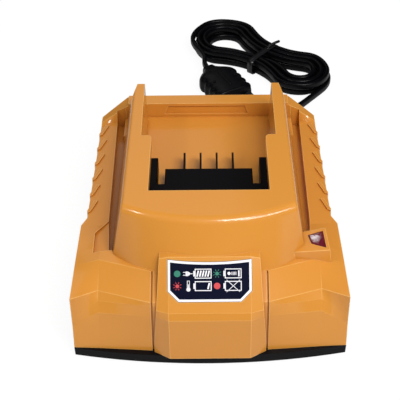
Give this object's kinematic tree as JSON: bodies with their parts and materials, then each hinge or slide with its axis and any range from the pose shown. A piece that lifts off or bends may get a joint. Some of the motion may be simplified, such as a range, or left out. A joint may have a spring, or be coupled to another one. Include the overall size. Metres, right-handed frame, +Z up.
{
  "type": "power tool battery charger",
  "caption": "Bench charger for a slide-in tool battery: moulded dock with rails, terminal block and blades, lamp, label, low base and a tied mains lead with plug.",
  "frame": {"origin": "on the table, under the middle of the charger body", "axes": "+Y from the sloping nose to the back where the battery enters and the lead leaves, +Z up, +X to the right seen from the front"},
  "size_m": [0.145, 0.3044, 0.067],
  "materials": {
    "cover_plastic": "satin moulded, orange-yellow",
    "base_plastic": "fine moulded texture, black",
    "label_film": "printed film, dark navy with pale border",
    "lens_plastic": "clear dark red moulding",
    "block_plastic": "glass-filled, black",
    "blade_metal": "plated spring brass",
    "foot_rubber": "soft matt",
    "screw_steel": "zinc plated",
    "board_laminate": "green solder mask",
    "ferrite": "sintered, dark grey",
    "winding_tape": "yellow polyester tape",
    "copper": "enamelled copper",
    "can_sleeve": "shrunk sleeve",
    "sink_aluminium": "extruded",
    "component_black": "moulded epoxy",
    "capacitor_box": "moulded box",
    "fuse_glass": "clear tube",
    "led_epoxy": "diffused red",
    "wire_jacket": "insulated wire",
    "cord_jacket": "flexible black jacket",
    "plug_plastic": "moulded, black",
    "pin_metal": "nickel plated",
    "tie_plastic": "coated wire tie"
  },
  "bodies": {
    "root": {"base_tray": "base_plastic", "battery_leads": "wire_jacket", "board_screws": "screw_steel", "bridge_rectifier": "component_black", "bulk_capacitor": "can_sleeve", "case_screws": "screw_steel", "choke_core": "ferrite", "choke_winding": "copper", "circuit_board": "board_laminate", "clamp_screws": "screw_steel", "contact_blade_1": "blade_metal", "contact_blade_2": "blade_metal", "contact_blade_3": "blade_metal", "contact_blade_4": "blade_metal", "control_chip": "component_black", "cord_clamp": "base_plastic", "cord_hank": "cord_jacket", "cord_inside": "cord_jacket", "cord_lead": "cord_jacket", "cord_strain_relief": "cord_jacket", "cord_tail": "cord_jacket", "cord_tie": "tie_plastic", "fuse": "fuse_glass", "heat_sink": "sink_aluminium", "led_lens": "lens_plastic", "mains_filter_capacitor": "capacitor_box", "mains_wires": "wire_jacket", "optocoupler": "component_black", "output_capacitors": "can_sleeve", "output_diode": "component_black", "plug_body": "plug_plastic", "plug_pin_sleeves": "component_black", "plug_pins": "pin_metal", "rubber_feet": "foot_rubber", "status_label": "label_film", "status_led": "led_epoxy", "switching_transistor": "component_black", "terminal_block": "block_plastic", "top_cover": "cover_plastic", "transformer_core": "ferrite", "transformer_winding": "winding_tape"}
  },
  "joints": []
}
